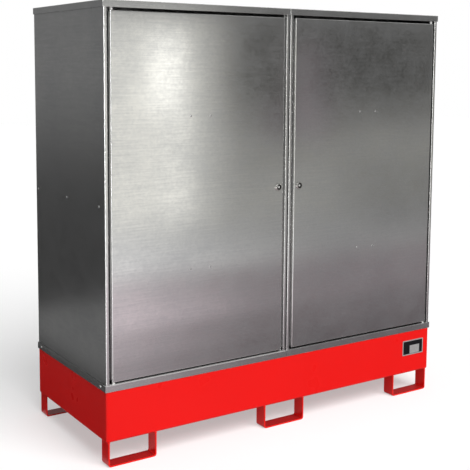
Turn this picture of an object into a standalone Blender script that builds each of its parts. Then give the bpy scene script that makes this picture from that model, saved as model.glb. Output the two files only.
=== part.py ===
"""Storage cabinet for dangerous goods: two sheet-steel modules on one sump tray.

Metres, +Z up. The origin is on the floor under the middle of the object, the doors face -Y, and +X is to
the right for someone who stands in front of the doors.
"""

import math

import bmesh
import bpy
from mathutils import Matrix, Vector

# Overall sizes
WIDTH = 1.740
DEPTH = 0.700
FOOT_HEIGHT = 0.100
SUMP_HEIGHT = 0.205
BODY_HEIGHT = 1.510
SEAM = 0.0003

# The lock heads stand in front of the doors, so the body sits that much behind the middle.
LOCK_PROUD = 0.008
FRONT = -(DEPTH + LOCK_PROUD) / 2 + LOCK_PROUD
REAR = FRONT + DEPTH
SUMP_TOP = FOOT_HEIGHT + SUMP_HEIGHT
BODY_BASE = SUMP_TOP + SEAM
BODY_TOP = BODY_BASE + BODY_HEIGHT - SEAM

# Sheet and plate thicknesses
SHEET = 0.0015
RAIL_SHEET = 0.0020
TRAY_SHEET = 0.0030
STRAP = 0.006
CAM_PLATE = 0.003

# Sump tray, feet and gratings
TRAY_INSET = 0.003
TRAY_SETBACK = 0.002
TRAY_CORNER = 0.008
TRAY_RIM = 0.025
FOOT_SPAN = 0.214
FOOT_DEPTH = 0.060
FOOT_BEND = 0.012
FOOT_CENTRES = {"left": -0.752, "centre": -0.006, "right": 0.746}
GRATING_LENGTH = 0.636
GRATING_WIDTH = 0.814
GRATING_DEPTH = 0.030
GRATING_DROP = 0.0015
GRATING_SPLIT = 0.004
GRATING_BARS = 21
GRATING_RODS = 4
GRATING_ROD_PITCH = GRATING_LENGTH / (GRATING_RODS + 1)
GRATING_BAR = 0.003
GRATING_ROD = 0.006
GRATING_ROD_DROP = 0.0004
SUPPORT_LEG = 0.040
SUPPORT_DROP = 0.030
PLATE_SIZE = (0.133, 0.073)
PLATE_CENTRE = (0.7645, 0.2245)
PLATE_THICKNESS = 0.0012
PLATE_CORNER = 0.003

# One module: a lid and a base ring over folded walls
MODULE_SPLIT = 0.001
CAP_HEIGHT = 0.027
BASE_RING = 0.025
WALL_INSET = 0.004
FACE_INSET = SHEET + SEAM
WALL_BEND = 0.004
CAP_BEND = 0.002
FOLD_BEND = 0.003
INNER_BEND = 0.0015
OUTER_STILE_EDGE = 0.852
INNER_STILE_EDGE = 0.017
REAR_FLANGE = 0.026
HINGE_STOP_DEPTH = 0.024
HINGE_STOP_WIDTH = 0.026
LOCK_STOP_DEPTH = 0.0195
LOCK_STOP_WIDTH = 0.020
STOP_NOTCH_OVERLAP = 0.004
RAIL_DEPTH = 0.0154
RAIL_FRONT_CLEAR = 0.005
RAIL_REAR_CLEAR = 0.008
BACK_FOLD = 0.012

# Doors, hung on pivots in the rails
DOOR_GAP = 0.012
DOOR_GAP_BELOW = 0.009
DOOR_DEPTH = 0.016
DOOR_LIP = 0.012
PIVOT_FROM_EDGE = 0.008
PIVOT_SETBACK = FACE_INSET + SEAM + RAIL_DEPTH / 2
PIN_RADIUS = 0.004
PIN_CHAMFER = 0.001
PIN_TAIL = 0.012
PIN_ENGAGEMENT = 0.009
COLLAR_RADIUS = 0.006
COLLAR_HEIGHT = 0.0015
BUSH_RADIUS = 0.005
BUSH_LENGTH = 0.012
BUSH_SHOULDER_RADIUS = 0.006
RUNNING_CLEARANCE = 0.0003
STIFFENER_LENGTH = 1.236
STIFFENER_SHIFT = 0.008
STIFFENER_DEPTH = 0.025
STIFFENER_WEB = 0.068
STIFFENER_FLANGE = 0.024

# Locks
LOCK_FROM_JOINT = 0.055
LOCK_HEIGHT = 1.059
LOCK_HEAD_RADIUS = 0.015
LOCK_HEAD_CHAMFER = 0.0025
LOCK_CUP_RADIUS = 0.011
LOCK_CUP_DEPTH = 0.005
LOCK_RIM = 0.0015
LOCK_BARREL_RADIUS = 0.010
LOCK_BARREL_LENGTH = 0.017
LOCK_NUT_ACROSS = 0.026
LOCK_NUT_HEIGHT = 0.005
SPINDLE_RADIUS = 0.005
SPINDLE_RISE = 0.0005
SQUARE_ROOT = 0.002
DRIVE_SQUARE = 0.0075
DRIVE_SETBACK = 0.001
CAM_CLEARANCE = 0.001
CAM_SQUARE = 0.007
CAM_SQUARE_END = 0.0005
CAM_WIDTH = 0.018
CAM_REACH = 0.035
CAM_NOSE = 0.0054
CAM_SCREW_RADIUS = 0.0065
CAM_SCREW_HEIGHT = 0.004
CAM_SCREW_CHAMFER = 0.001

# Shelves
SHELF_RAIL_HEIGHT = 1.029
SHELF_RAIL_LEG = 0.030
SHELF_RAIL_LEDGE = 0.025
SHELF_RAIL_FRONT = 0.030
SHELF_RAIL_REAR = 0.020
SHELF_WIDTH = 0.852
SHELF_HEIGHT = 0.030
SHELF_LIP = 0.012
SHELF_FRONT = 0.050
SHELF_REAR = 0.008

# Rivets and screws
RIVET_HEAD = 0.0045
RIVET_SHANK = 0.0025
RIVET_HEAD_HEIGHT = 0.0016
SIDE_RIVET_DEPTHS = (0.056, 0.366, 0.676)
DOOR_RIVET_HEIGHTS = (0.752, 1.372)
SCREW_DEPTHS = (0.050, 0.660)
SCREW_HEIGHT = 0.317
SCREW_HEAD = 0.0055
SCREW_HEAD_HEIGHT = 0.0027
SCREW_HEAD_EDGE = 0.0016
SCREW_SHANK = 0.0030
SCREW_LENGTH = 0.012
SCREW_POINT = 0.002

# Holes are cut by pins of this length, and turned pieces have this many facets.
DRILL_LENGTH = 0.010
COARSE = 8
MEDIUM = 14
FINE = 24

PARTS = "storage_cabinet"
CUTTERS = "cutters"


def clear_scene():
    """Removes every object that the file opened with."""
    for thing in list(bpy.data.objects):
        bpy.data.objects.remove(thing, do_unlink=True)


def collection_named(name):
    """A collection of that name in the scene, made at its first use."""
    found = bpy.data.collections.get(name)
    if found is None:
        found = bpy.data.collections.new(name)
        bpy.context.scene.collection.children.link(found)
    return found


def finish(thing, colour, metallic, roughness):
    """Gives a piece its own plain material."""
    material = bpy.data.materials.new(thing.name + "_finish")
    material.use_nodes = True
    shader = material.node_tree.nodes["Principled BSDF"]
    shader.inputs["Base Color"].default_value = (*colour, 1.0)
    shader.inputs["Metallic"].default_value = metallic
    shader.inputs["Roughness"].default_value = roughness
    material.diffuse_color = (*colour, 1.0)
    thing.data.materials.clear()
    thing.data.materials.append(material)


def galvanised(thing):
    """Bare zinc-coated sheet."""
    finish(thing, (0.69, 0.69, 0.68), 1.0, 0.26)


def signal_red(thing):
    """Glossy red enamel."""
    finish(thing, (0.87, 0.010, 0.009), 0.0, 0.30)


def bright_steel(thing):
    """Plated small parts."""
    finish(thing, (0.66, 0.65, 0.62), 1.0, 0.25)


def white_nylon(thing):
    """Moulded bushes."""
    finish(thing, (0.83, 0.83, 0.81), 0.0, 0.42)


def hot_dipped(thing):
    """Duller hot-dip zinc."""
    finish(thing, (0.45, 0.46, 0.47), 1.0, 0.50)


def dark_plate(thing):
    """Black-faced plate."""
    finish(thing, (0.03, 0.03, 0.03), 0.0, 0.45)


def add_object(name, data, parent=None, location=(0, 0, 0)):
    """Links an object of that data into the parts collection."""
    thing = bpy.data.objects.new(name, data)
    collection_named(PARTS).objects.link(thing)
    thing.parent = parent
    thing.location = location
    return thing


def add_empty(name, location, parent=None):
    """A frame that pieces are placed in."""
    frame = add_object(name, None, parent, location)
    frame.empty_display_size = 0.05
    return frame


def mesh_from(name, shape):
    """Turns a bmesh into mesh data."""
    data = bpy.data.meshes.new(name)
    shape.to_mesh(data)
    shape.free()
    return data


def rounded(corners, radii, steps=3):
    """An open outline with each inner corner turned into an arc of its radius."""
    points = [Vector(corners[0])]
    for before, corner, after, radius in zip(corners, corners[1:], corners[2:], radii):
        corner = Vector(corner)
        back = (Vector(before) - corner).normalized()
        ahead = (Vector(after) - corner).normalized()
        half = back.angle(ahead) / 2
        reach = radius / math.tan(half)
        centre = corner + (back + ahead).normalized() * radius / math.sin(half)
        start = corner + back * reach - centre
        sweep = start.angle_signed(corner + ahead * reach - centre)
        for step in range(steps + 1):
            turn = Matrix.Rotation(-sweep * step / steps, 2)
            points.append(centre + turn @ start)
    points.append(Vector(corners[-1]))
    return points


def lift(point, height, axis):
    """The point of an outline at that height along its axis: X, Y or Z."""
    if axis == "X":
        return Vector((height, point[0], point[1]))
    if axis == "Y":
        return Vector((point[0], height, point[1]))
    return Vector((point[0], point[1], height))


def folded_sheet(name, outline, start, length, axis, thickness, parent=None, hand=1):
    """A sheet folded along an outline. The outline is one face of the sheet, which lies to its left.

    With hand -1 the outline is mirrored in its first coordinate.
    """
    if hand < 0:
        outline = [Vector((-point[0], point[1])) for point in reversed(outline)]
    shape = bmesh.new()
    edge_points = [shape.verts.new(lift(point, start, axis)) for point in outline]
    edges = [shape.edges.new(pair) for pair in zip(edge_points, edge_points[1:])]
    made = bmesh.ops.extrude_edge_only(shape, edges=edges)["geom"]
    moved = [part for part in made if isinstance(part, bmesh.types.BMVert)]
    shift = lift((0, 0), length, axis)
    bmesh.ops.translate(shape, verts=moved, vec=shift)
    shape.faces.ensure_lookup_table()
    first = Vector(outline[1]) - Vector(outline[0])
    outside = lift((first.y, -first.x), 0, axis)
    near = min(shape.faces, key=lambda face: (face.calc_center_median() - edge_points[0].co).length)
    shape.normal_update()
    if near.normal.dot(outside) < 0:
        bmesh.ops.reverse_faces(shape, faces=shape.faces[:])
    thing = add_object(name, mesh_from(name, shape), parent)
    shell(thing, thickness)
    return thing


def shell(thing, thickness):
    """Gives an open surface its thickness, inwards."""
    wall = thing.modifiers.new("sheet", "SOLIDIFY")
    wall.thickness = thickness
    wall.offset = -1.0
    wall.use_even_offset = True
    wall.use_rim = True


def add_block(shape, low, high):
    """Adds a box between two corners to a bmesh."""
    size = Vector(high) - Vector(low)
    place = Matrix.Translation((Vector(high) + Vector(low)) / 2) @ Matrix.Diagonal((*size, 1.0))
    bmesh.ops.create_cube(shape, size=1.0, matrix=place)


def block(low, high):
    """A bmesh box between two corners."""
    shape = bmesh.new()
    add_block(shape, low, high)
    return shape


def face_towards(shape, direction):
    """The box face that looks in a direction."""
    shape.normal_update()
    return max(shape.faces, key=lambda face: face.normal.dot(Vector(direction)))


def open_face(shape, direction, lip):
    """Cuts a box face away, apart from a lip round its edge."""
    face = face_towards(shape, direction)
    if lip:
        bmesh.ops.inset_region(shape, faces=[face], thickness=lip, use_even_offset=True)
        face = max(
            (part for part in shape.faces if part.normal.dot(Vector(direction)) > 0.9),
            key=lambda part: part.calc_area(),
        )
    bmesh.ops.delete(shape, geom=[face], context="FACES")


def bend_edges(shape, chosen, radius, segments):
    """Rounds the chosen edges."""
    edges = [edge for edge in shape.edges if chosen(edge)]
    bmesh.ops.bevel(
        shape, geom=edges, offset=radius, offset_type="OFFSET", segments=segments, profile=0.5,
        affect="EDGES", clamp_overlap=True,
    )


def turned(name, profile, parent, location, rotation=(0, 0, 0), steps=MEDIUM):
    """A turned piece. The profile is (radius, height) pairs from the top down its outer side."""
    shape = bmesh.new()
    points = [shape.verts.new((radius, 0, height)) for radius, height in profile]
    closed = profile[0][0] > 0 and profile[-1][0] > 0
    pairs = list(zip(points, points[1:]))
    if closed:
        pairs.append((points[-1], points[0]))
    for pair in pairs:
        shape.edges.new(pair)
    thing = add_object(name, mesh_from(name, shape), parent, location)
    thing.rotation_euler = rotation
    spin = thing.modifiers.new("turned", "SCREW")
    spin.axis = "Z"
    spin.angle = math.tau
    spin.steps = steps
    spin.render_steps = steps
    spin.use_merge_vertices = True
    spin.merge_threshold = 0.00001
    spin.use_smooth_shade = True
    return thing


def cylinder(shape, radius, length, centre, axis, steps):
    """Adds a closed cylinder to a bmesh."""
    turns = {"X": Matrix.Rotation(math.pi / 2, 4, "Y"), "Y": Matrix.Rotation(math.pi / 2, 4, "X")}
    place = Matrix.Translation(centre) @ turns.get(axis, Matrix.Identity(4))
    bmesh.ops.create_cone(
        shape, cap_ends=True, segments=steps, radius1=radius, radius2=radius, depth=length, matrix=place
    )


def combine(thing, shape, operation, purpose):
    """Cuts a bmesh out of a piece, or joins it on. The bmesh is in the piece's own frame."""
    name = f"{thing.name}_{purpose}"
    tool = bpy.data.objects.new(name, mesh_from(name, shape))
    collection_named(CUTTERS).objects.link(tool)
    tool.parent = thing.parent
    tool.location = thing.location
    tool.rotation_euler = thing.rotation_euler
    tool.display_type = "WIRE"
    tool.hide_render = True
    step = thing.modifiers.new(purpose, "BOOLEAN")
    step.operation = operation
    step.object = tool


def drill(thing, holes, axis, radius, steps=COARSE):
    """Cuts a row of round holes, each centred on a point in the piece's own frame."""
    shape = bmesh.new()
    for centre in holes:
        cylinder(shape, radius, DRILL_LENGTH, centre, axis, steps)
    combine(thing, shape, "DIFFERENCE", "drilled")


def flat_outline(name, outlines, thickness, parent, location, rotation):
    """A plate cut to closed outlines in its own XY plane. A second outline is a hole."""
    data = bpy.data.curves.new(name, "CURVE")
    data.dimensions = "2D"
    data.fill_mode = "BOTH"
    data.extrude = thickness / 2
    for outline in outlines:
        spline = data.splines.new("POLY")
        spline.points.add(len(outline) - 1)
        spline.use_cyclic_u = True
        for point, (x, y) in zip(spline.points, outline):
            point.co = (x, y, 0, 1)
    thing = add_object(name, data, parent, location)
    thing.rotation_euler = rotation
    return thing


def arc(centre, radius, start, end, steps):
    """Points along an arc, angles in degrees."""
    points = []
    for step in range(steps + 1):
        angle = math.radians(start + (end - start) * step / steps)
        points.append((centre[0] + radius * math.cos(angle), centre[1] + radius * math.sin(angle)))
    return points


def square(side):
    """The corners of a centred square."""
    half = side / 2
    return [(-half, -half), (half, -half), (half, half), (-half, half)]


def add_sump_tray():
    """Welded tray: rounded upright corners, eased bottom edges and a rim folded inwards."""
    half = WIDTH / 2 - TRAY_INSET
    low = (-half, FRONT + TRAY_SETBACK, FOOT_HEIGHT)
    shape = block(low, (half, REAR - TRAY_SETBACK, SUMP_TOP))
    open_face(shape, (0, 0, 1), TRAY_RIM)

    def is_outer_fold(edge):
        ends = [end.co for end in edge.verts]
        upright = abs(ends[0].z - ends[1].z) > SUMP_HEIGHT / 2
        return upright or all(end.z < FOOT_HEIGHT + SEAM for end in ends)

    bend_edges(shape, is_outer_fold, TRAY_CORNER, 3)
    tray = add_object("sump_tray", mesh_from("sump_tray", shape))
    shell(tray, TRAY_SHEET)
    signal_red(tray)


def add_feet():
    """Six loops of flat bar, bent to a U and welded under the tray's front and rear edges."""
    rows = {"front": FRONT + TRAY_SETBACK, "rear": REAR - TRAY_SETBACK - FOOT_DEPTH}
    half = FOOT_SPAN / 2
    top = FOOT_HEIGHT - SEAM
    corners = [(-half, top), (-half, 0), (half, 0), (half, top)]
    outline = rounded(corners, [FOOT_BEND, FOOT_BEND], 5)
    for row, start in rows.items():
        for place, centre in FOOT_CENTRES.items():
            name = f"{row}_{place}_foot"
            foot = folded_sheet(name, outline, start, FOOT_DEPTH, "Y", STRAP)
            foot.location.x = centre
            signal_red(foot)


def add_grating_supports():
    """Angles inside the tray's front and rear walls that carry the gratings."""
    half = WIDTH / 2 - TRAY_INSET - TRAY_SHEET - TRAY_CORNER
    ledge = SUMP_TOP - GRATING_DROP - GRATING_DEPTH - GRATING_ROD_DROP - SEAM
    wall = FRONT + TRAY_SETBACK + TRAY_SHEET + SEAM
    outline = [(wall, ledge - SUPPORT_DROP), (wall, ledge), (wall + SUPPORT_LEG, ledge)]
    front = folded_sheet("front_grating_support", outline[::-1], -half, 2 * half, "X", TRAY_SHEET)
    signal_red(front)
    wall = REAR - TRAY_SETBACK - TRAY_SHEET - SEAM
    outline = [(wall, ledge - SUPPORT_DROP), (wall, ledge), (wall - SUPPORT_LEG, ledge)]
    rear = folded_sheet("rear_grating_support", outline, -half, 2 * half, "X", TRAY_SHEET)
    signal_red(rear)


def add_grating(side, hand):
    """Welded bar grating: bearing bars from front to rear, cross rods pressed into them, two end bands."""
    half_length = GRATING_LENGTH / 2
    half_width = GRATING_WIDTH / 2
    shape = bmesh.new()
    for number in range(GRATING_BARS):
        middle = (number / (GRATING_BARS - 1) - 0.5) * (GRATING_WIDTH - GRATING_BAR)
        near = middle - GRATING_BAR / 2
        add_block(shape, (near, -half_length, -GRATING_DEPTH), (near + GRATING_BAR, half_length, 0))
    name = f"{side}_grating"
    inner_edge = GRATING_SPLIT / 2
    centre = (hand * (inner_edge + half_width), (FRONT + REAR) / 2, SUMP_TOP - GRATING_DROP)
    grating = add_object(name, mesh_from(name, shape), None, centre)

    rods = bmesh.new()
    for number in range(GRATING_RODS):
        middle = (number - (GRATING_RODS - 1) / 2) * GRATING_ROD_PITCH
        low = (-half_width + GRATING_BAR / 2, middle - GRATING_ROD / 2, -GRATING_ROD - GRATING_ROD_DROP)
        add_block(rods, low, (half_width - GRATING_BAR / 2, middle + GRATING_ROD / 2, -GRATING_ROD_DROP))
    for end in (-half_length - GRATING_BAR / 2, half_length - GRATING_BAR / 2):
        low = (-half_width - GRATING_BAR / 2, end, -GRATING_DEPTH - GRATING_ROD_DROP)
        add_block(rods, low, (half_width + GRATING_BAR / 2, end + GRATING_BAR, GRATING_ROD_DROP))
    combine(grating, rods, "UNION", "rods")
    hot_dipped(grating)


def add_type_plate():
    """Blank plate on the tray's front."""
    half_x = PLATE_SIZE[0] / 2 - PLATE_CORNER
    half_y = PLATE_SIZE[1] / 2 - PLATE_CORNER
    outline = []
    for x, y, start in ((1, 1, 0), (-1, 1, 90), (-1, -1, 180), (1, -1, 270)):
        outline += arc((x * half_x, y * half_y), PLATE_CORNER, start, start + 90, 3)
    depth = FRONT + TRAY_SETBACK - SEAM - PLATE_THICKNESS / 2
    place = (PLATE_CENTRE[0], depth, PLATE_CENTRE[1])
    plate = flat_outline("type_plate", [outline], PLATE_THICKNESS, None, place, (math.pi / 2, 0, 0))
    dark_plate(plate)


def add_caps(side, hand):
    """The module's lid and, mirrored below it, the base ring with its upstand."""
    inner = min(hand * MODULE_SPLIT, hand * WIDTH / 2)
    outer = max(hand * MODULE_SPLIT, hand * WIDTH / 2)
    shape = block((inner, FRONT, BODY_TOP - CAP_HEIGHT), (outer, REAR, BODY_TOP))
    open_face(shape, (0, 0, -1), 0)

    def is_fold(edge):
        return not edge.is_boundary

    bend_edges(shape, is_fold, CAP_BEND, 2)
    roof = add_object(f"{side}_roof", mesh_from(f"{side}_roof", shape))
    shell(roof, SHEET)
    galvanised(roof)

    shape = block((inner, FRONT, BODY_BASE), (outer, REAR, BODY_BASE + CAP_HEIGHT))
    open_face(shape, (0, 0, -1), BASE_RING)
    open_face(shape, (0, 0, 1), 0)
    ring = add_object(f"{side}_base_frame", mesh_from(f"{side}_base_frame", shape))
    shell(ring, SHEET)
    sideways = turn_to((hand, 0, 0))
    screws = [(hand * WIDTH / 2, FRONT + depth, SCREW_HEIGHT) for depth in SCREW_DEPTHS]
    places = [Matrix.Translation(point) @ sideways for point in screws]
    combine(ring, copies(screw_pattern(), places), "UNION", "screws")
    galvanised(ring)


def rivet_places(surface):
    """Where the shelf-rail rivets go through a wall at that X."""
    return [(surface, FRONT + depth, SHELF_RAIL_HEIGHT) for depth in SIDE_RIVET_DEPTHS]


def notch_stop(panel, start, end, stop):
    """Notches a stop flange at both ends, so that it doesn't show in the gaps above and below the door."""
    low_x = min(start, end)
    high_x = max(start, end)
    below = BODY_BASE + CAP_HEIGHT + DOOR_GAP_BELOW + STOP_NOTCH_OVERLAP
    above = BODY_TOP - CAP_HEIGHT - DOOR_GAP - STOP_NOTCH_OVERLAP
    shape = block((low_x, stop - SHEET, BODY_BASE), (high_x, stop + 2 * SHEET, below))
    add_block(shape, (low_x, stop - SHEET, above), (high_x, stop + 2 * SHEET, BODY_TOP))
    combine(panel, shape, "DIFFERENCE", "stop_notches")


def add_walls(side, hand):
    """Outer and inner side panels, each folded round to form a stile, and the back panel."""
    foot = BODY_BASE + SHEET + SEAM
    height = BODY_TOP - SHEET - SEAM - foot
    face = FRONT + FACE_INSET
    tail = REAR - FACE_INSET
    wall = WIDTH / 2 - WALL_INSET

    stop = FRONT + HINGE_STOP_DEPTH
    stile = OUTER_STILE_EDGE
    corners = [(REAR_FLANGE - wall, tail), (-wall, tail), (-wall, face), (-stile, face)]
    corners += [(-stile, stop), (HINGE_STOP_WIDTH - stile, stop)]
    outline = rounded(corners, [INNER_BEND, WALL_BEND, FOLD_BEND, INNER_BEND])
    outer = folded_sheet(f"{side}_outer_panel", outline, foot, height, "Z", SHEET, hand=-hand)
    drill(outer, rivet_places(hand * wall), "X", RIVET_SHANK + SEAM)
    screws = [(hand * wall, FRONT + depth, SCREW_HEIGHT) for depth in SCREW_DEPTHS]
    drill(outer, screws, "X", SCREW_SHANK + SEAM)
    notch_stop(outer, hand * (stile - INNER_BEND - SEAM), hand * (stile - HINGE_STOP_WIDTH - SHEET), stop)
    galvanised(outer)

    inner_wall = MODULE_SPLIT + SHEET + SEAM
    stop = FRONT + LOCK_STOP_DEPTH
    stile = INNER_STILE_EDGE
    corners = [(inner_wall + REAR_FLANGE, tail), (inner_wall, tail), (inner_wall, face), (stile, face)]
    corners += [(stile, stop), (stile + LOCK_STOP_WIDTH, stop)]
    outline = rounded(corners, [INNER_BEND, WALL_BEND, FOLD_BEND, INNER_BEND])
    inner = folded_sheet(f"{side}_inner_panel", outline, foot, height, "Z", SHEET, hand=hand)
    drill(inner, rivet_places(hand * inner_wall), "X", RIVET_SHANK + SEAM)
    notch_stop(inner, hand * (stile + INNER_BEND + SEAM), hand * (stile + LOCK_STOP_WIDTH + SHEET), stop)
    galvanised(inner)

    near = hand * (inner_wall + SHEET + SEAM)
    far = hand * (wall - SHEET - SEAM)
    rear_face = tail - SHEET - SEAM
    shape = block((min(near, far), rear_face - BACK_FOLD, foot), (max(near, far), rear_face, foot + height))
    open_face(shape, (0, -1, 0), 0)
    back = add_object(f"{side}_back_panel", mesh_from(f"{side}_back_panel", shape))
    shell(back, SHEET)
    galvanised(back)


def add_rails(side, hand):
    """Folded channels behind the lid's and the base ring's front, between the stiles."""
    near = FRONT + FACE_INSET + SEAM
    far = near + RAIL_DEPTH
    start = min(hand * (INNER_STILE_EDGE + SEAM), hand * (OUTER_STILE_EDGE - SEAM))
    length = OUTER_STILE_EDGE - INNER_STILE_EDGE - 2 * SEAM
    pivot = hand * pivot_from_middle()

    ledge = BODY_TOP - CAP_HEIGHT
    outline = [(near, BODY_TOP - RAIL_FRONT_CLEAR), (near, ledge), (far, ledge)]
    outline.append((far, BODY_TOP - RAIL_REAR_CLEAR))
    top = folded_sheet(f"{side}_top_rail", outline, start, length, "X", RAIL_SHEET)
    drill(top, [(pivot, FRONT + PIVOT_SETBACK, ledge)], "Z", BUSH_RADIUS + SEAM, MEDIUM)
    galvanised(top)

    ledge = BODY_BASE + CAP_HEIGHT
    outline = [(far, BODY_BASE + RAIL_REAR_CLEAR), (far, ledge), (near, ledge)]
    outline.append((near, BODY_BASE + RAIL_FRONT_CLEAR))
    bottom = folded_sheet(f"{side}_bottom_rail", outline, start, length, "X", RAIL_SHEET)
    drill(bottom, [(pivot, FRONT + PIVOT_SETBACK, ledge)], "Z", BUSH_RADIUS + SEAM, MEDIUM)
    galvanised(bottom)


def pivot_from_middle():
    """Distance of a door's pivots from the cabinet's middle."""
    return OUTER_STILE_EDGE - DOOR_GAP - PIVOT_FROM_EDGE


def add_bushes(side, hand):
    """Nylon bushes in the rails, each with a shoulder that spaces the door off the ledge."""
    bore = PIN_RADIUS + RUNNING_CLEARANCE
    place = (hand * pivot_from_middle(), FRONT + PIVOT_SETBACK)
    ends = (
        ("upper", BODY_TOP - CAP_HEIGHT, DOOR_GAP, 0),
        ("lower", BODY_BASE + CAP_HEIGHT, DOOR_GAP_BELOW, math.pi),
    )
    for end, ledge, gap, turn in ends:
        shoulder = COLLAR_HEIGHT + RUNNING_CLEARANCE - gap
        profile = [(bore, BUSH_LENGTH), (BUSH_RADIUS, BUSH_LENGTH), (BUSH_RADIUS, -SEAM)]
        profile += [(BUSH_SHOULDER_RADIUS, -SEAM), (BUSH_SHOULDER_RADIUS, shoulder), (bore, shoulder)]
        name = f"{side}_{end}_pivot_bush"
        white_nylon(turned(name, profile, None, (*place, ledge), (turn, 0, 0)))


def add_shelf(side, hand):
    """Two angle rails, riveted to the walls, and the folded shelf that lies on them."""
    wall = WIDTH / 2 - WALL_INSET - SHEET - SEAM
    inner_wall = MODULE_SPLIT + 2 * (SHEET + SEAM)
    top = SHELF_RAIL_HEIGHT + SHELF_RAIL_LEG / 2
    bottom = top - SHELF_RAIL_LEG
    start = FRONT + SHELF_RAIL_FRONT
    length = DEPTH - SHELF_RAIL_FRONT - SHELF_RAIL_REAR
    rails = (
        ("outer", -wall, -hand, hand * (wall + SHEET + SEAM), hand),
        ("inner", inner_wall, hand, hand * (inner_wall - SHEET - SEAM), -hand),
    )
    for place, near, mirror, surface, outward in rails:
        outline = [(near, bottom), (near, top), (near + SHELF_RAIL_LEDGE, top)]
        name = f"{side}_{place}_shelf_rail"
        rail = folded_sheet(name, outline[::-1], start, length, "Y", RAIL_SHEET, hand=mirror)
        sideways = turn_to((outward, 0, 0))
        places = [Matrix.Translation(point) @ sideways for point in rivet_places(surface)]
        combine(rail, copies(rivet_pattern(SHEET + SEAM + RAIL_SHEET), places), "UNION", "rivets")
        galvanised(rail)

    middle = hand * (wall + inner_wall) / 2
    near = FRONT + SHELF_FRONT
    far = REAR - SHELF_REAR
    low = (middle - SHELF_WIDTH / 2, near, top + SEAM)
    shape = block(low, (middle + SHELF_WIDTH / 2, far, top + SEAM + SHELF_HEIGHT))
    open_face(shape, (0, 0, -1), SHELF_LIP)
    shelf = add_object(f"{side}_shelf", mesh_from(f"{side}_shelf", shape))
    shell(shelf, SHEET)
    galvanised(shelf)


def copies(pattern, places):
    """A bmesh with a copy of a pattern's evaluated mesh at each matrix. The pattern goes."""
    graph = bpy.context.evaluated_depsgraph_get()
    data = bpy.data.meshes.new_from_object(pattern.evaluated_get(graph))
    bpy.data.objects.remove(pattern, do_unlink=True)
    shape = bmesh.new()
    for place in places:
        before = len(shape.verts)
        shape.from_mesh(data)
        shape.verts.ensure_lookup_table()
        bmesh.ops.transform(shape, matrix=place, verts=shape.verts[before:])
    bmesh.ops.recalc_face_normals(shape, faces=shape.faces[:])
    return shape


def rivet_pattern(grip):
    """A rivet on its own axis: dome on +Z, shank through the grip, formed tail below."""
    head = RIVET_HEAD
    rise = RIVET_HEAD_HEIGHT
    tail = -grip - SEAM
    profile = [(0, SEAM + rise), (head * 0.55, SEAM + rise * 0.85), (head, SEAM + rise * 0.25), (head, SEAM)]
    profile += [(RIVET_SHANK, SEAM), (RIVET_SHANK, tail - rise), (0, tail - rise)]
    return turned("rivet_pattern", profile, None, (0, 0, 0), steps=COARSE)


def screw_pattern():
    """A pan-head screw on its own axis: head on +Z, shank below."""
    head = SCREW_HEAD
    crown = SCREW_HEAD_HEIGHT
    tip = -SCREW_LENGTH
    profile = [(0, crown), (head * 0.7, crown), (head, SCREW_HEAD_EDGE), (head, -SHEET / 2)]
    profile += [(SCREW_SHANK, -SHEET / 2), (SCREW_SHANK, tip + SCREW_POINT)]
    profile += [(SCREW_SHANK * 0.6, tip), (0, tip)]
    return turned("screw_pattern", profile, None, (0, 0, 0), steps=COARSE)


def turn_to(direction):
    """The rotation that takes +Z to a direction."""
    return Vector((0, 0, 1)).rotation_difference(Vector(direction)).to_matrix().to_4x4()


def door_middle():
    """Distance of a door's middle from the cabinet's middle."""
    return (OUTER_STILE_EDGE + INNER_STILE_EDGE) / 2


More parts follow.
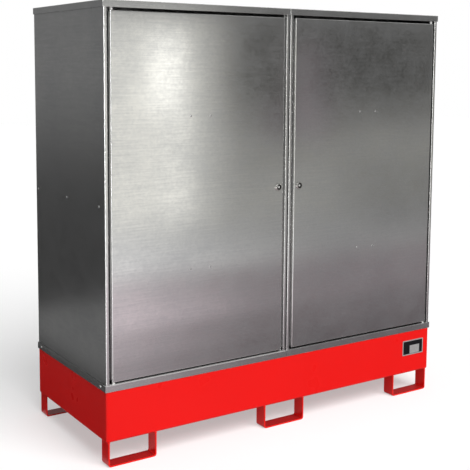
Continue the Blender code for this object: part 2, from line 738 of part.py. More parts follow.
def add_door(side, hand):
    """Folded door pan with its stiffener, rivets and pivot pins, in the frame of its pivots."""
    width = OUTER_STILE_EDGE - INNER_STILE_EDGE - 2 * DOOR_GAP
    bottom = BODY_BASE + CAP_HEIGHT + DOOR_GAP_BELOW
    top = BODY_TOP - CAP_HEIGHT - DOOR_GAP
    pivot_x = hand * pivot_from_middle()
    pivot_y = FRONT + PIVOT_SETBACK
    hinge = add_empty(f"{side}_door_pivot", (pivot_x, pivot_y, bottom))

    middle = hand * door_middle() - pivot_x
    face = -PIVOT_SETBACK
    height = top - bottom
    low = (middle - width / 2, face, 0)
    shape = block(low, (middle + width / 2, face + DOOR_DEPTH, height))
    open_face(shape, (0, 1, 0), DOOR_LIP)

    def is_front_fold(edge):
        return all(end.co.y < face + SEAM for end in edge.verts)

    bend_edges(shape, is_front_fold, FOLD_BEND, 3)
    door = add_object(f"{side}_door", mesh_from(f"{side}_door", shape), hinge)
    shell(door, SHEET)
    galvanised(door)

    spine = middle + hand * STIFFENER_SHIFT
    offset = (STIFFENER_WEB + STIFFENER_FLANGE) / 2
    rows = [level - bottom for level in DOOR_RIVET_HEIGHTS]
    rivets = [(spine + sign * offset, face, row) for row in rows for sign in (-1, 1)]
    drill(door, rivets, "Y", RIVET_SHANK + SEAM)
    drill(door, [(0, 0, 0), (0, 0, height)], "Z", PIN_RADIUS + SEAM, MEDIUM)
    lock_x = hand * LOCK_FROM_JOINT - pivot_x
    lock_z = LOCK_HEIGHT - bottom
    drill(door, [(lock_x, face, lock_z)], "Y", LOCK_BARREL_RADIUS + SEAM, FINE)

    seat = face + SHEET + SEAM
    web = seat + STIFFENER_DEPTH
    half = STIFFENER_WEB / 2
    edge = half + STIFFENER_FLANGE
    corners = [(-edge, seat), (-half, seat), (-half, web), (half, web), (half, seat), (edge, seat)]
    outline = [Vector((x + spine, y)) for x, y in rounded(corners, [INNER_BEND] * 4, 2)]
    start = (height - STIFFENER_LENGTH) / 2
    name = f"{side}_door_stiffener"
    stiffener = folded_sheet(name, outline, start, STIFFENER_LENGTH, "Z", SHEET, hinge)
    forward = turn_to((0, -1, 0))
    places = [Matrix.Translation(point) @ forward for point in rivets]
    combine(stiffener, copies(rivet_pattern(2 * SHEET + SEAM), places), "UNION", "rivets")
    galvanised(stiffener)

    reach = DOOR_GAP + PIN_ENGAGEMENT
    profile = [(0, reach), (PIN_RADIUS - PIN_CHAMFER, reach), (PIN_RADIUS, reach - PIN_CHAMFER)]
    profile += [(PIN_RADIUS, COLLAR_HEIGHT), (COLLAR_RADIUS, COLLAR_HEIGHT), (COLLAR_RADIUS, SEAM)]
    profile += [(PIN_RADIUS, SEAM), (PIN_RADIUS, -PIN_TAIL), (0, -PIN_TAIL)]
    bright_steel(turned(f"{side}_upper_pivot_pin", profile, hinge, (0, 0, height)))
    bright_steel(turned(f"{side}_lower_pivot_pin", profile, hinge, (0, 0, 0), (math.pi, 0, 0)))

    add_lock(side, hand, hinge, (lock_x, face, lock_z))


def add_lock(side, hand, hinge, place):
    """Quarter-turn lock: cupped housing and nut in the door, spindle, cam and screw that turn."""
    axis = add_empty(f"{side}_lock_axis", place, hinge)
    axis.rotation_euler = (math.pi / 2, 0, 0)
    bore = SPINDLE_RADIUS + SEAM
    cup_floor = LOCK_PROUD - LOCK_CUP_DEPTH
    rim = LOCK_CUP_RADIUS + LOCK_RIM
    profile = [(LOCK_CUP_RADIUS, LOCK_PROUD), (rim, LOCK_PROUD)]
    profile += [(LOCK_HEAD_RADIUS, LOCK_PROUD - LOCK_HEAD_CHAMFER)]
    profile += [(LOCK_HEAD_RADIUS, SEAM), (LOCK_BARREL_RADIUS, SEAM)]
    profile += [(LOCK_BARREL_RADIUS, -LOCK_BARREL_LENGTH), (bore, -LOCK_BARREL_LENGTH)]
    profile += [(bore, cup_floor), (LOCK_CUP_RADIUS, cup_floor)]
    bright_steel(turned(f"{side}_lock_housing", profile, axis, (0, 0, 0), steps=FINE))

    shape = bmesh.new()
    corner_radius = LOCK_NUT_ACROSS / math.sqrt(3)
    middle = -SHEET - SEAM - LOCK_NUT_HEIGHT / 2
    cylinder(shape, corner_radius, LOCK_NUT_HEIGHT, (0, 0, middle), "Z", 6)
    nut = add_object(f"{side}_lock_nut", mesh_from(f"{side}_lock_nut", shape), axis)
    drill(nut, [(0, 0, middle)], "Z", LOCK_BARREL_RADIUS + SEAM, FINE)
    bright_steel(nut)

    cam_front = -(LOCK_STOP_DEPTH + SHEET + CAM_CLEARANCE)
    cam_end = cam_front - CAM_PLATE - CAM_SQUARE_END
    name = f"{side}_lock_spindle"
    shape = bmesh.new()
    top = cup_floor + SPINDLE_RISE
    cylinder(shape, SPINDLE_RADIUS, top - cam_front, (0, 0, (top + cam_front) / 2), "Z", MEDIUM)
    spindle = add_object(name, mesh_from(name, shape), axis)
    ends = bmesh.new()
    half = DRIVE_SQUARE / 2
    add_block(ends, (-half, -half, top - SQUARE_ROOT), (half, half, LOCK_PROUD - DRIVE_SETBACK))
    half = CAM_SQUARE / 2
    add_block(ends, (-half, -half, cam_end), (half, half, cam_front + SQUARE_ROOT))
    combine(spindle, ends, "UNION", "squares")
    bright_steel(spindle)

    radius = CAM_WIDTH / 2
    side_arc = radius - CAM_NOSE
    end_arc = CAM_NOSE - CAM_REACH
    outline = arc((0, 0), radius, 0, 180, 10)
    outline += arc((-side_arc, end_arc), CAM_NOSE, 180, 270, 4)
    outline += arc((side_arc, end_arc), CAM_NOSE, 270, 360, 4)
    opening = square(CAM_SQUARE + 2 * SEAM)
    middle = cam_front - SEAM - CAM_PLATE / 2
    thickness = CAM_PLATE - 2 * SEAM
    cam = flat_outline(f"{side}_lock_cam", [outline, opening], thickness, axis, (0, 0, middle), (0, 0, 0))
    bright_steel(cam)

    top = cam_end - SEAM
    head = CAM_SCREW_RADIUS
    end = top - CAM_SCREW_HEIGHT
    profile = [(0, top), (head, top), (head, end + CAM_SCREW_CHAMFER), (head * 0.7, end), (0, end)]
    bright_steel(turned(f"{side}_cam_screw", profile, axis, (0, 0, 0), steps=6))


clear_scene()
add_sump_tray()
add_feet()
add_grating_supports()
add_type_plate()
for module_side, module_hand in (("left", -1), ("right", 1)):
    add_grating(module_side, module_hand)
    add_caps(module_side, module_hand)
    add_walls(module_side, module_hand)
    add_rails(module_side, module_hand)
    add_bushes(module_side, module_hand)
    add_shelf(module_side, module_hand)
    add_door(module_side, module_hand)
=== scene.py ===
"""Storage cabinet for dangerous goods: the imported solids, finished and lit as in a studio."""

import math

import bpy
from mathutils import Matrix, Vector


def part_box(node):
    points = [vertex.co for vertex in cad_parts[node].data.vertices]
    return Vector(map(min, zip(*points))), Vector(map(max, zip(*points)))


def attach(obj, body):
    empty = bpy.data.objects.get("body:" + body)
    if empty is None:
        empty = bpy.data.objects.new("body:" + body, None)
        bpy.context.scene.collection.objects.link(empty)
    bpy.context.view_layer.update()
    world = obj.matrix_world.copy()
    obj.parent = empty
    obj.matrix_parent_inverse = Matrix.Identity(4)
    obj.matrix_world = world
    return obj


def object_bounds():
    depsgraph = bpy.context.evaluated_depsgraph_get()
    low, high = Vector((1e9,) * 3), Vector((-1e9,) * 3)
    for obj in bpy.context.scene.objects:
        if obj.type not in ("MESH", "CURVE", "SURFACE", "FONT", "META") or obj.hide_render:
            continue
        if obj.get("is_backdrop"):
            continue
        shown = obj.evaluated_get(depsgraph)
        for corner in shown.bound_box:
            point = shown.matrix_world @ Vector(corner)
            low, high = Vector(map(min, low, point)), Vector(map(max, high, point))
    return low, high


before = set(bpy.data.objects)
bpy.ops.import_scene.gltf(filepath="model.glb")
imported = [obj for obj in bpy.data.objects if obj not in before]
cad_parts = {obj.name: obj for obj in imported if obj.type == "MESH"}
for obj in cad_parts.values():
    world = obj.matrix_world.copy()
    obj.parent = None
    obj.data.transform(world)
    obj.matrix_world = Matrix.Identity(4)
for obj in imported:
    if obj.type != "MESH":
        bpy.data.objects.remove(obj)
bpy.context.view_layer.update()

# The sump tray: 3 mm steel plate, bent at its upright corners, welded, and sprayed inside and out with a
# glossy red enamel. The angles that carry the gratings are welded to its walls and painted with it.
RED = (0.88, 0.007, 0.006, 1.0)
RED_DEEP = (0.84, 0.006, 0.005, 1.0)
RED_THIN_WITH_HIGHLIGHT = (0.93, 0.100, 0.045, 1.0)
PAINT_CLOUDS_PER_METRE = 2.2
THIN_PATCHES_PER_METRE = 60.0
SHEEN_PATCHES_PER_METRE = 9.0
TRAY_PEEL_PER_METRE = 260.0
PAINT_ROUGHNESS = (0.27, 0.33)
PAINT_SPECULAR = 0.22
PAINT_ROUNDING = 0.0016
PAINT_THINNESS = (0.3, 1.0)
PEEL_DEPTH = 0.0003
PEEL_STRENGTH = 0.10
EDGE_COSINES = (0.72, 0.98)


def new_material(name):
    """A material with its node tree and its shader."""
    made = bpy.data.materials.new(name)
    made.use_nodes = True
    return made, made.node_tree, made.node_tree.nodes["Principled BSDF"]


def connect(tree, source, target):
    """Links an output to an input."""
    tree.links.new(source, target)


def add(tree, kind, inputs=None, **settings):
    """Adds a node, sets it, and fills its sockets with values or with other nodes' outputs."""
    made = tree.nodes.new(kind)
    for name, value in settings.items():
        setattr(made, name, value)
    for socket, value in (inputs or {}).items():
        if isinstance(value, bpy.types.NodeSocket):
            connect(tree, value, made.inputs[socket])
        else:
            made.inputs[socket].default_value = value
    return made


def place_on(tree, scale=(1.0, 1.0, 1.0)):
    """The point on the object, stretched along each axis."""
    point = add(tree, "ShaderNodeTexCoord").outputs["Object"]
    return add(tree, "ShaderNodeMapping", {"Vector": point, "Scale": scale}).outputs["Vector"]


def noise(tree, vector, scale, detail=2.0, roughness=0.5):
    """Fractal noise from 0 to 1."""
    inputs = {"Vector": vector, "Scale": scale, "Detail": detail, "Roughness": roughness}
    return add(tree, "ShaderNodeTexNoise", inputs).outputs["Fac"]


def spread(tree, value, low, high, from_low=0.3, from_high=0.7):
    """Maps a value, which mostly lies between the last two, to a range."""
    inputs = {"Value": value, "From Min": from_low, "From Max": from_high, "To Min": low, "To Max": high}
    return add(tree, "ShaderNodeMapRange", inputs).outputs["Result"]


def blend_colours(tree, amount, first, second):
    """From the first colour to the second by that amount."""
    inputs = {0: amount, 6: first, 7: second}
    return add(tree, "ShaderNodeMix", inputs, data_type="RGBA").outputs[2]


def calculate(tree, operation, first, second):
    """One step of arithmetic."""
    return add(tree, "ShaderNodeMath", {0: first, 1: second}, operation=operation).outputs["Value"]


def relief(tree, height, depth, strength, under=None):
    """Turns a height, which is that deep in metres, into a bump normal over the one under it."""
    inputs = {"Height": height, "Distance": depth, "Strength": strength}
    if under is not None:
        inputs["Normal"] = under
    return add(tree, "ShaderNodeBump", inputs).outputs["Normal"]


def near_edges(tree, radius):
    """A rounded normal, and how much it leaves the flat one: 0 on a face, up to 1 at a sharp edge."""
    rounded = add(tree, "ShaderNodeBevel", {"Radius": radius}, samples=6).outputs["Normal"]
    flat = add(tree, "ShaderNodeNewGeometry").outputs["Normal"]
    likeness = add(tree, "ShaderNodeVectorMath", {0: rounded, 1: flat}, operation="DOT_PRODUCT")
    return rounded, spread(tree, likeness.outputs["Value"], 1.0, 0.0, *EDGE_COSINES)


def red_enamel(name, peel_per_metre):
    """Sprayed enamel: slight orange peel, cloudy depth of colour, and thin paint along the edges, made paler
    and more orange there also as a painted highlight.
    """
    made, tree, shader = new_material(name)
    cloud = noise(tree, place_on(tree), PAINT_CLOUDS_PER_METRE, detail=3.0)
    body = blend_colours(tree, spread(tree, cloud, 0.0, 1.0), RED, RED_DEEP)
    rounded, edge = near_edges(tree, PAINT_ROUNDING)
    # Thin paint and a painted highlight: patches along the edges turn paler and more orange.
    patches = noise(tree, place_on(tree), THIN_PATCHES_PER_METRE)
    thin_and_highlight = calculate(tree, "MULTIPLY", edge, spread(tree, patches, *PAINT_THINNESS))
    connect(tree, blend_colours(tree, thin_and_highlight, body, RED_THIN_WITH_HIGHLIGHT), shader.inputs["Base Color"])
    sheen = noise(tree, place_on(tree), SHEEN_PATCHES_PER_METRE)
    connect(tree, spread(tree, sheen, *PAINT_ROUGHNESS), shader.inputs["Roughness"])
    shader.inputs["Specular IOR Level"].default_value = PAINT_SPECULAR
    skin = noise(tree, place_on(tree), peel_per_metre)
    connect(tree, relief(tree, skin, PEEL_DEPTH, PEEL_STRENGTH, rounded), shader.inputs["Normal"])
    return made


def dress(names, material):
    """Gives CAD nodes that finish."""
    for name in names:
        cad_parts[name].material_slots[0].material = material


tray_paint = red_enamel("tray_enamel", TRAY_PEEL_PER_METRE)
dress(["sump_tray", "front_grating_support", "rear_grating_support"], tray_paint)

# Six feet: loops of 6 mm flat bar bent to a U and welded under the tray's front and rear edges. Each leg
# has a fillet weld along both of its faces, painted over with the tray. Painted shade darkens the bars'
# upward faces near the floor.
ROWS = ("front", "rear")
PLACES = ("left", "centre", "right")
FOOT_PEEL_PER_METRE = 420.0
PAINTED_SHADE_RED = (0.36, 0.012, 0.012, 1.0)
FACING_UP = (0.6, 0.9)
BAR = 0.006
WELD_RADIUS = 0.0032
WELD_DROP = 0.35 * WELD_RADIUS
WELD_STEP = 0.0030
WELD_END = 0.003
RIPPLE_SHAPE = (1.0, 0.85, 0.80)

foot_paint = red_enamel("foot_enamel", FOOT_PEEL_PER_METRE)
tree = foot_paint.node_tree
shader = tree.nodes["Principled BSDF"]
normal = add(tree, "ShaderNodeTexCoord").outputs["Normal"]
upwards = add(tree, "ShaderNodeSeparateXYZ", {"Vector": normal}).outputs["Z"]
height = add(tree, "ShaderNodeSeparateXYZ", {"Vector": place_on(tree)}).outputs["Z"]
on_bar = spread(tree, height, 1.0, 0.0, BAR, 2 * BAR)
# Painted shade: the bars' upward faces near the floor are blended to a dark red.
painted_shade = calculate(tree, "MULTIPLY", on_bar, spread(tree, upwards, 0.0, 1.0, *FACING_UP))
coat = shader.inputs["Base Color"].links[0].from_socket
connect(tree, blend_colours(tree, painted_shade, coat, PAINTED_SHADE_RED), shader.inputs["Base Color"])


def clear_selection():
    """Leaves nothing selected, so that an operator acts on the new piece alone."""
    bpy.ops.object.select_all(action="DESELECT")


def apply_all(piece):
    """Applies a piece's modifiers in order and puts its place, turn and size into its mesh."""
    clear_selection()
    piece.select_set(True)
    bpy.context.view_layer.objects.active = piece
    for modifier in list(piece.modifiers):
        bpy.ops.object.modifier_apply(modifier=modifier.name)
    bpy.ops.object.transform_apply(location=True, rotation=True, scale=True)


def join(pieces, name):
    """Makes one piece of several."""
    clear_selection()
    for piece in pieces:
        piece.select_set(True)
    bpy.context.view_layer.objects.active = pieces[0]
    bpy.ops.object.join()
    made = bpy.context.view_layer.objects.active
    made.name = name
    made.data.name = name
    return made


def weld_bead(start, length):
    """A fillet weld along Y: one ripple, repeated so that each overlaps the last."""
    clear_selection()
    bpy.ops.mesh.primitive_uv_sphere_add(segments=8, ring_count=5, radius=WELD_RADIUS, location=start)
    bead = bpy.context.active_object
    bpy.ops.object.mode_set(mode="EDIT")
    bpy.ops.transform.resize(value=RIPPLE_SHAPE)
    bpy.ops.object.mode_set(mode="OBJECT")
    row = bead.modifiers.new("ripples", "ARRAY")
    row.use_relative_offset = False
    row.use_constant_offset = True
    row.constant_offset_displace = (0.0, WELD_STEP, 0.0)
    row.count = int(length / WELD_STEP)
    apply_all(bead)
    bpy.ops.object.shade_smooth()
    return bead


for row in ROWS:
    for place in PLACES:
        foot = f"{row}_{place}_foot"
        dress([foot], foot_paint)
        low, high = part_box(foot)
        start = low.y + WELD_END
        length = high.y - low.y - 2 * WELD_END
        leg_faces = (low.x, low.x + BAR, high.x - BAR, high.x)
        beads = [weld_bead((x, start, high.z - WELD_DROP), length) for x in leg_faces]
        welds = join(beads, f"{foot}_welds")
        welds.data.materials.clear()
        welds.data.materials.append(foot_paint)
        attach(welds, "cabinet")

# Two welded bar gratings lie on the angles in the tray and keep what stands in the cabinet above the
# sump. They are hot-dip galvanised: a dull, mottled zinc with a coarse skin.
SIDES = ("left", "right")
ZINC_DARK = (0.40, 0.41, 0.42, 1.0)
ZINC_PALE = (0.50, 0.51, 0.52, 1.0)
ZINC_METALLIC = 0.9
ZINC_ROUGHNESS = (0.42, 0.62)
FLAKES_PER_METRE = 95.0
DULL_SPOTS_PER_METRE = 40.0
ZINC_GRAINS_PER_METRE = 320.0
ZINC_GRAIN_DEPTH = 0.0006
ZINC_GRAIN_STRENGTH = 0.30

zinc, tree, shader = new_material("grating_zinc")
flakes = add(tree, "ShaderNodeTexVoronoi", {"Vector": place_on(tree), "Scale": FLAKES_PER_METRE})
tone = blend_colours(tree, flakes.outputs["Color"], ZINC_DARK, ZINC_PALE)
connect(tree, tone, shader.inputs["Base Color"])
shader.inputs["Metallic"].default_value = ZINC_METALLIC
dullness = noise(tree, place_on(tree), DULL_SPOTS_PER_METRE, detail=3.0)
connect(tree, spread(tree, dullness, *ZINC_ROUGHNESS), shader.inputs["Roughness"])
skin = noise(tree, place_on(tree), ZINC_GRAINS_PER_METRE, detail=3.0)
connect(tree, relief(tree, skin, ZINC_GRAIN_DEPTH, ZINC_GRAIN_STRENGTH), shader.inputs["Normal"])
dress([f"{side}_grating" for side in SIDES], zinc)

# The rating plate at the right of the tray's front: a black-faced metal plate with a silver border and a
# silver panel at its lower right, both left blank. It is fixed flat against the tray.
BORDER = 0.0050
PANEL_FROM_LEFT = 0.046
PANEL_FROM_RIGHT = 0.025
PANEL_FROM_BOTTOM = 0.0066
PANEL_FROM_TOP = 0.0263
PRINT_BLUR = 0.0003
PRINT_DEPTH = 0.0001
PRINT_STRENGTH = 0.4
INK_BLACK = (0.006, 0.006, 0.007, 1.0)
INK_RUBBED = (0.011, 0.011, 0.012, 1.0)
FOIL_DULL = (0.60, 0.60, 0.59, 1.0)
FOIL_BRIGHT = (0.70, 0.70, 0.69, 1.0)
FOIL_METALLIC = 0.6
PLATE_ROUGHNESS = (0.28, 0.42)
PLATE_SPECULAR = 0.20
PLATE_WEAR_PER_METRE = 90.0


def past(tree, value, level):
    """1 where the value is past the level, 0 before it, with a fine soft step."""
    return spread(tree, value, 0.0, 1.0, level - PRINT_BLUR, level + PRINT_BLUR)


def within(tree, left, right, bottom, top):
    """1 inside a rectangle that lies that far in from the plate's four edges, 0 outside it."""
    low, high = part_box("type_plate")
    place = add(tree, "ShaderNodeSeparateXYZ", {"Vector": place_on(tree)}).outputs
    spans = ((place["X"], low.x + left, high.x - right), (place["Z"], low.z + bottom, high.z - top))
    inside = 1.0
    for value, start, end in spans:
        between = calculate(tree, "SUBTRACT", past(tree, value, start), past(tree, value, end))
        inside = calculate(tree, "MULTIPLY", inside, between)
    return inside


plate, tree, shader = new_material("rating_plate")
border = calculate(tree, "SUBTRACT", 1.0, within(tree, BORDER, BORDER, BORDER, BORDER))
panel = within(tree, PANEL_FROM_LEFT, PANEL_FROM_RIGHT, PANEL_FROM_BOTTOM, PANEL_FROM_TOP)
silver = calculate(tree, "MAXIMUM", border, panel)
wear = spread(tree, noise(tree, place_on(tree), PLATE_WEAR_PER_METRE, detail=4.0), 0.0, 1.0)
ink = blend_colours(tree, wear, INK_BLACK, INK_RUBBED)
foil = blend_colours(tree, wear, FOIL_DULL, FOIL_BRIGHT)
connect(tree, blend_colours(tree, silver, ink, foil), shader.inputs["Base Color"])
connect(tree, calculate(tree, "MULTIPLY", silver, FOIL_METALLIC), shader.inputs["Metallic"])
connect(tree, spread(tree, wear, *PLATE_ROUGHNESS, 0.0, 1.0), shader.inputs["Roughness"])
shader.inputs["Specular IOR Level"].default_value = PLATE_SPECULAR
connect(tree, relief(tree, silver, PRINT_DEPTH, PRINT_STRENGTH), shader.inputs["Normal"])
dress(["type_plate"], plate)

# Two modules of folded, zinc-coated sheet stand on the tray: each a base ring with a ledge, side panels
# that bend round to the door stiles, a back, a lid, and rails behind the lid and the ring. The mill's
# rolling lines run level along the upright sheets, and handling and weather have blotched the coating.
# The folds, the edges and the front of the ledge carry a painted highlight.
SHEET_LIGHT = (0.77, 0.77, 0.76, 1.0)
SHEET_DARK = (0.60, 0.605, 0.61, 1.0)
HIGHLIGHT_PAINT_COLOUR = (0.93, 0.93, 0.92, 1.0)
FOLD_REACH = 0.0011
FOLD_COSINES = (0.965, 0.995)
LINES_PER_METRE = 190.0
CLOUDS_PER_METRE = 1.6
BLOTCHES_PER_METRE = 9.0
SPECKS_PER_METRE = 70.0
TONE_WEIGHTS = {"cloud": 0.32, "blotch": 0.25, "speck": 0.18, "lines": 0.25}
HAZE_WEIGHTS = {"blotch": 0.40, "speck": 0.32, "lines": 0.28}
MIXED_MARKS = (0.41, 0.59)
METALLIC_UNDER_HAZE = (0.965, 0.895)
ROUGHNESS_SWINGS = {"lines": 0.004, "blotch": 0.012, "speck": 0.006}
GRAIN_STRENGTH = 0.35
WALL_GRAIN = ("Z", 0.25)
LID_GRAIN = ("X", 0.0)
WALL_LINES = (0.040, 0.040, 1.0)
LID_LINES = (0.040, 1.0, 1.0)
FINE_LINES = 0.0000015
DEEP_LINES = 0.00002
WAVE_DEPTH = 0.0008
SLACK_STRENGTH = 0.30
LEDGE_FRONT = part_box("left_base_frame")[0].y
LEDGE_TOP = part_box("left_base_frame")[1].z
LEDGE_WIDTH = 0.020
LEDGE_FADE = 0.002
LEDGE_BAND = 0.0026
LEDGE_BLUR = 0.0004
# Painted highlight on the front of the ledge, stronger on the left module than on the right.
LEDGE_HIGHLIGHT_LEVELS = {"left": 0.45, "right": 0.10}
LEDGE_HIGHLIGHT_DULLNESS = 0.75


def on_folds(tree):
    """1 on the rounded folds, whose surface looks along none of the piece's axes, 0 on its flat faces."""
    normal = add(tree, "ShaderNodeTexCoord").outputs["Normal"]
    size = add(tree, "ShaderNodeVectorMath", {0: normal}, operation="ABSOLUTE").outputs["Vector"]
    parts = add(tree, "ShaderNodeSeparateXYZ", {"Vector": size}).outputs
    most = calculate(tree, "MAXIMUM", calculate(tree, "MAXIMUM", parts["X"], parts["Y"]), parts["Z"])
    return spread(tree, most, 1.0, 0.0, *FOLD_COSINES)


def on_ledge(tree, amount):
    """That amount on the ledge of the base ring below the doors, 0 elsewhere."""
    place = add(tree, "ShaderNodeSeparateXYZ", {"Vector": place_on(tree)}).outputs
    low = LEDGE_TOP - LEDGE_BAND
    rear = LEDGE_FRONT + LEDGE_WIDTH
    high_up = spread(tree, place["Z"], 0.0, amount, low - LEDGE_BLUR, low + LEDGE_BLUR)
    in_front = spread(tree, place["Y"], 1.0, 0.0, rear, rear + LEDGE_FADE)
    return calculate(tree, "MULTIPLY", high_up, in_front)


def weigh(tree, marks, weights):
    """The sum of the marks by their weights."""
    total = 0.0
    for mark, weight in weights.items():
        total = calculate(tree, "ADD", total, calculate(tree, "MULTIPLY", marks[mark], weight))
    return total


def zinc_sheet(name, across_lines, roughness, line_depth=FINE_LINES, grain=WALL_GRAIN, ledge_highlight=0.0):
    """Rolled, zinc-coated sheet with a thin dull haze of zinc oxide, and a painted highlight along its folds
    and edges and, where asked, on the ledge of the base ring. The lines follow the axes in which
    across_lines is small. The grain is the axis and turn of the stretched gloss."""
    made, tree, shader = new_material(name)
    stretch = [value * LINES_PER_METRE for value in across_lines]
    marks = {
        "lines": noise(tree, place_on(tree, stretch), 1.0, detail=3.0, roughness=0.6),
        "cloud": noise(tree, place_on(tree), CLOUDS_PER_METRE, detail=4.0, roughness=0.55),
        "blotch": noise(tree, place_on(tree), BLOTCHES_PER_METRE, detail=5.0, roughness=0.65),
        "speck": noise(tree, place_on(tree), SPECKS_PER_METRE, detail=3.0, roughness=0.6),
    }
    rounded, edge = near_edges(tree, FOLD_REACH)
    ledge_highlight_mask = on_ledge(tree, ledge_highlight)
    # Painted highlight: the folds, the sharp edges and the ledge's front are given a paler colour.
    painted_highlight = calculate(tree, "MAXIMUM", calculate(tree, "MAXIMUM", on_folds(tree), edge), ledge_highlight_mask)

    tone = spread(tree, weigh(tree, marks, TONE_WEIGHTS), 0.0, 1.0, *MIXED_MARKS)
    flat_colour = blend_colours(tree, tone, SHEET_LIGHT, SHEET_DARK)
    connect(tree, blend_colours(tree, painted_highlight, flat_colour, HIGHLIGHT_PAINT_COLOUR), shader.inputs["Base Color"])
    hazed = spread(tree, weigh(tree, marks, HAZE_WEIGHTS), *METALLIC_UNDER_HAZE, *MIXED_MARKS)
    # On the ledge the painted highlight also lowers the metallic, so that the sheet takes more of the fill
    # light.
    dull = calculate(tree, "MULTIPLY", ledge_highlight_mask, LEDGE_HIGHLIGHT_DULLNESS)
    connect(tree, calculate(tree, "SUBTRACT", hazed, dull), shader.inputs["Metallic"])
    for mark, swing in ROUGHNESS_SWINGS.items():
        roughness = calculate(tree, "ADD", spread(tree, marks[mark], -swing, swing), roughness)
    connect(tree, roughness, shader.inputs["Roughness"])

    axis, turn = grain
    tangent = add(tree, "ShaderNodeTangent", direction_type="RADIAL", axis=axis).outputs["Tangent"]
    connect(tree, tangent, shader.inputs["Tangent"])
    shader.inputs["Anisotropic"].default_value = GRAIN_STRENGTH
    shader.inputs["Anisotropic Rotation"].default_value = turn
    slack = calculate(tree, "MULTIPLY", calculate(tree, "SUBTRACT", 1.0, painted_highlight), SLACK_STRENGTH)
    wavy = relief(tree, marks["cloud"], WAVE_DEPTH, slack, rounded)
    connect(tree, relief(tree, marks["lines"], line_depth, slack, wavy), shader.inputs["Normal"])
    return made


panel_sheet = zinc_sheet("panel_sheet", WALL_LINES, roughness=0.19)
lid_sheet = zinc_sheet("lid_sheet", LID_LINES, roughness=0.18, grain=LID_GRAIN)
for side, ledge_highlight in LEDGE_HIGHLIGHT_LEVELS.items():
    dress([f"{side}_{part}" for part in ("outer_panel", "inner_panel", "back_panel")], panel_sheet)
    dress([f"{side}_roof", f"{side}_top_rail"], lid_sheet)
    ring = zinc_sheet(f"{side}_ledge_sheet", LID_LINES, roughness=0.18, grain=LID_GRAIN, ledge_highlight=ledge_highlight)
    dress([f"{side}_base_frame", f"{side}_bottom_rail"], ring)

# One shelf per module, a folded tray of duller sheet with deeper lines. It lies on two angle rails that are
# riveted to the walls.
RAIL_LINES = (0.6, 0.010, 0.6)

shelf_sheet = zinc_sheet("shelf_sheet", LID_LINES, 0.32, line_depth=DEEP_LINES, grain=LID_GRAIN)
rail_sheet = zinc_sheet("shelf_rail_sheet", RAIL_LINES, 0.36, line_depth=DEEP_LINES)
for side in SIDES:
    dress([f"{side}_shelf"], shelf_sheet)
    dress([f"{side}_outer_shelf_rail", f"{side}_inner_shelf_rail"], rail_sheet)

# The doors are folded pans of brighter sheet, with the same level lines. A hat profile is riveted upright
# behind each as a stiffener, bent from duller sheet.
STIFFENER_LINES = (0.010, 0.6, 0.6)

door_sheet = zinc_sheet("door_sheet", WALL_LINES, roughness=0.13)
stiffener_sheet = zinc_sheet("stiffener_sheet", STIFFENER_LINES, 0.34, line_depth=DEEP_LINES)
for side in SIDES:
    dress([f"{side}_door"], door_sheet)
    dress([f"{side}_door_stiffener"], stiffener_sheet)

# Each door turns on two plated pins in white nylon bushes. The bushes are pressed into the rails, and
# their shoulders fill the gaps above and below the door.
NYLON_DARK = (0.80, 0.80, 0.78, 1.0)
NYLON_PALE = (0.86, 0.86, 0.84, 1.0)
NYLON_ROUGHNESS = (0.36, 0.48)
NYLON_MILKINESS = 0.10
NYLON_LIGHT_DEPTH = (0.002, 0.002, 0.002)
NYLON_GRAINS_PER_METRE = 300.0
NYLON_GRAIN_DEPTH = 0.0001
NYLON_GRAIN_STRENGTH = 0.2
PIN_PLATING = (0.66, 0.65, 0.62, 1.0)
RUBBED_PLATING = (0.80, 0.79, 0.76, 1.0)
PLATING_GRAINS_PER_METRE = 420.0
PLATING_GRAIN_DEPTH = 0.00004
PLATING_GRAIN_STRENGTH = 0.25
PLATING_WEAR = (0.4, 1.0)
PLATING_BRIGHTER = 0.05
PLATING_DULLER = 0.07

nylon, tree, shader = new_material("bush_nylon")
grain = noise(tree, place_on(tree), NYLON_GRAINS_PER_METRE)
connect(tree, blend_colours(tree, grain, NYLON_DARK, NYLON_PALE), shader.inputs["Base Color"])
connect(tree, spread(tree, grain, *NYLON_ROUGHNESS), shader.inputs["Roughness"])
shader.inputs["Subsurface Weight"].default_value = NYLON_MILKINESS
shader.inputs["Subsurface Radius"].default_value = NYLON_LIGHT_DEPTH
connect(tree, relief(tree, grain, NYLON_GRAIN_DEPTH, NYLON_GRAIN_STRENGTH), shader.inputs["Normal"])


def plated_steel(name, colour, roughness, edge_reach=0.0006, metallic=1.0):
    """Turned steel with a plating: a fine grain, and edges rubbed bright."""
    made, tree, shader = new_material(name)
    rounded, edge = near_edges(tree, edge_reach)
    grain = noise(tree, place_on(tree), PLATING_GRAINS_PER_METRE, detail=3.0)
    worn = calculate(tree, "MULTIPLY", edge, spread(tree, grain, *PLATING_WEAR))
    connect(tree, blend_colours(tree, worn, colour, RUBBED_PLATING), shader.inputs["Base Color"])
    shader.inputs["Metallic"].default_value = metallic
    uneven = spread(tree, grain, roughness - PLATING_BRIGHTER, roughness + PLATING_DULLER)
    connect(tree, uneven, shader.inputs["Roughness"])
    fine = relief(tree, grain, PLATING_GRAIN_DEPTH, PLATING_GRAIN_STRENGTH, rounded)
    connect(tree, fine, shader.inputs["Normal"])
    return made


pin_steel = plated_steel("pin_steel", PIN_PLATING, roughness=0.24)
for side in SIDES:
    dress([f"{side}_upper_pivot_bush", f"{side}_lower_pivot_bush"], nylon)
    dress([f"{side}_upper_pivot_pin", f"{side}_lower_pivot_pin"], pin_steel)

